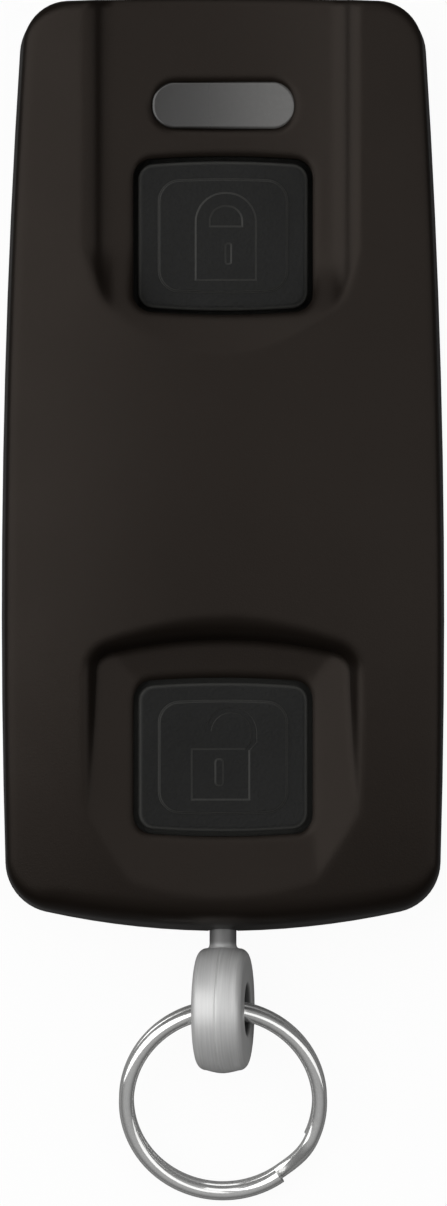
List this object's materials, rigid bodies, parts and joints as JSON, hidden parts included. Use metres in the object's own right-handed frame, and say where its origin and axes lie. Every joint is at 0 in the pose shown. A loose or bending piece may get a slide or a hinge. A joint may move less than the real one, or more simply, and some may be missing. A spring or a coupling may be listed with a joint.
{
  "type": "smart lock remote control",
  "caption": "Pocket remote for a smart lock: two sprung keys in finger scoops, a status window, a coin cell inside, and a swivel eyelet with a split ring.",
  "frame": {"origin": "middle of the flat back, on which the remote lies", "axes": "+Z out of the front, +Y along the case towards the status window, +X to the right when the front is seen with the window at the top"},
  "size_m": [0.0334, 0.0906, 0.013],
  "materials": {
    "case_plastic": "moulded black, satin, faint grain",
    "key_rubber": "matt black silicone, speckled grain",
    "mat_rubber": "matt black silicone",
    "window_plastic": "smoked, polished",
    "holder_plastic": "moulded black",
    "cell_steel": "nickel plated",
    "contact_nickel": "plated spring strip",
    "board_laminate": "green solder mask",
    "switch_plastic": "moulded black",
    "plunger_plastic": "moulded tan",
    "led_body": "clear cap on white",
    "chip_epoxy": "moulded epoxy",
    "crystal_can": "plated lid",
    "capacitor_ceramic": "tan ceramic",
    "resistor_body": "black film",
    "antenna_wire": "plated wire",
    "screw_steel": "zinc plated",
    "eyelet_metal": "bead-blasted silver",
    "ring_steel": "bright nickel plate"
  },
  "bodies": {
    "housing": {"rear_shell": "case_plastic", "front_shell": "case_plastic", "battery_holder": "holder_plastic", "battery_cell": "cell_steel", "battery_contact_positive": "contact_nickel", "battery_contact_negative": "contact_nickel", "circuit_board": "board_laminate", "lock_switch_case": "switch_plastic", "unlock_switch_case": "switch_plastic", "status_led": "led_body", "controller_chip": "chip_epoxy", "radio_chip": "chip_epoxy", "crystal": "crystal_can", "chip_capacitors": "capacitor_ceramic", "chip_resistors": "resistor_body", "wire_antenna": "antenna_wire", "keypad_mat": "mat_rubber", "status_window": "window_plastic", "case_screws": "screw_steel"},
    "lock_key": {"lock_button": "key_rubber", "lock_button_web": "key_rubber"},
    "unlock_key": {"unlock_button": "key_rubber", "unlock_button_web": "key_rubber"},
    "lock_plunger": {"lock_switch_plunger": "plunger_plastic"},
    "unlock_plunger": {"unlock_switch_plunger": "plunger_plastic"},
    "eyelet": {"swivel_eyelet": "eyelet_metal"},
    "key_ring": {"split_ring": "ring_steel"}
  },
  "joints": [
    {"name": "lock_key_press", "type": "slide", "parent": "housing", "child": "lock_key", "axis": [0, 0, -1], "range_m": [0, 0.00045], "stiffness_N_per_m": 800, "springref_m": -0.0005, "deforming": ["lock_button_web"]},
    {"name": "unlock_key_press", "type": "slide", "parent": "housing", "child": "unlock_key", "axis": [0, 0, -1], "range_m": [0, 0.00045], "stiffness_N_per_m": 800, "springref_m": -0.0005, "deforming": ["unlock_button_web"]},
    {"name": "lock_switch_click", "type": "slide", "parent": "housing", "child": "lock_plunger", "axis": [0, 0, -1], "range_m": [0, 0.00022]},
    {"name": "unlock_switch_click", "type": "slide", "parent": "housing", "child": "unlock_plunger", "axis": [0, 0, -1], "range_m": [0, 0.00022]},
    {"name": "eyelet_swivel", "type": "hinge", "parent": "housing", "child": "eyelet", "pos_m": [0, -0.0409, 0.0052], "axis": [0, 1, 0], "continuous": true},
    {"name": "ring_swing", "type": "hinge", "parent": "eyelet", "child": "key_ring", "pos_m": [0, -0.0409, 0.0052], "axis": [0.9914, 0, 0.1305], "range_deg": [-118, 85]}
  ],
  "couplings": [
    {"joint": "lock_switch_click", "follows": "lock_key_press", "ratio": 0.48889},
    {"joint": "unlock_switch_click", "follows": "unlock_key_press", "ratio": 0.48889}
  ]
}
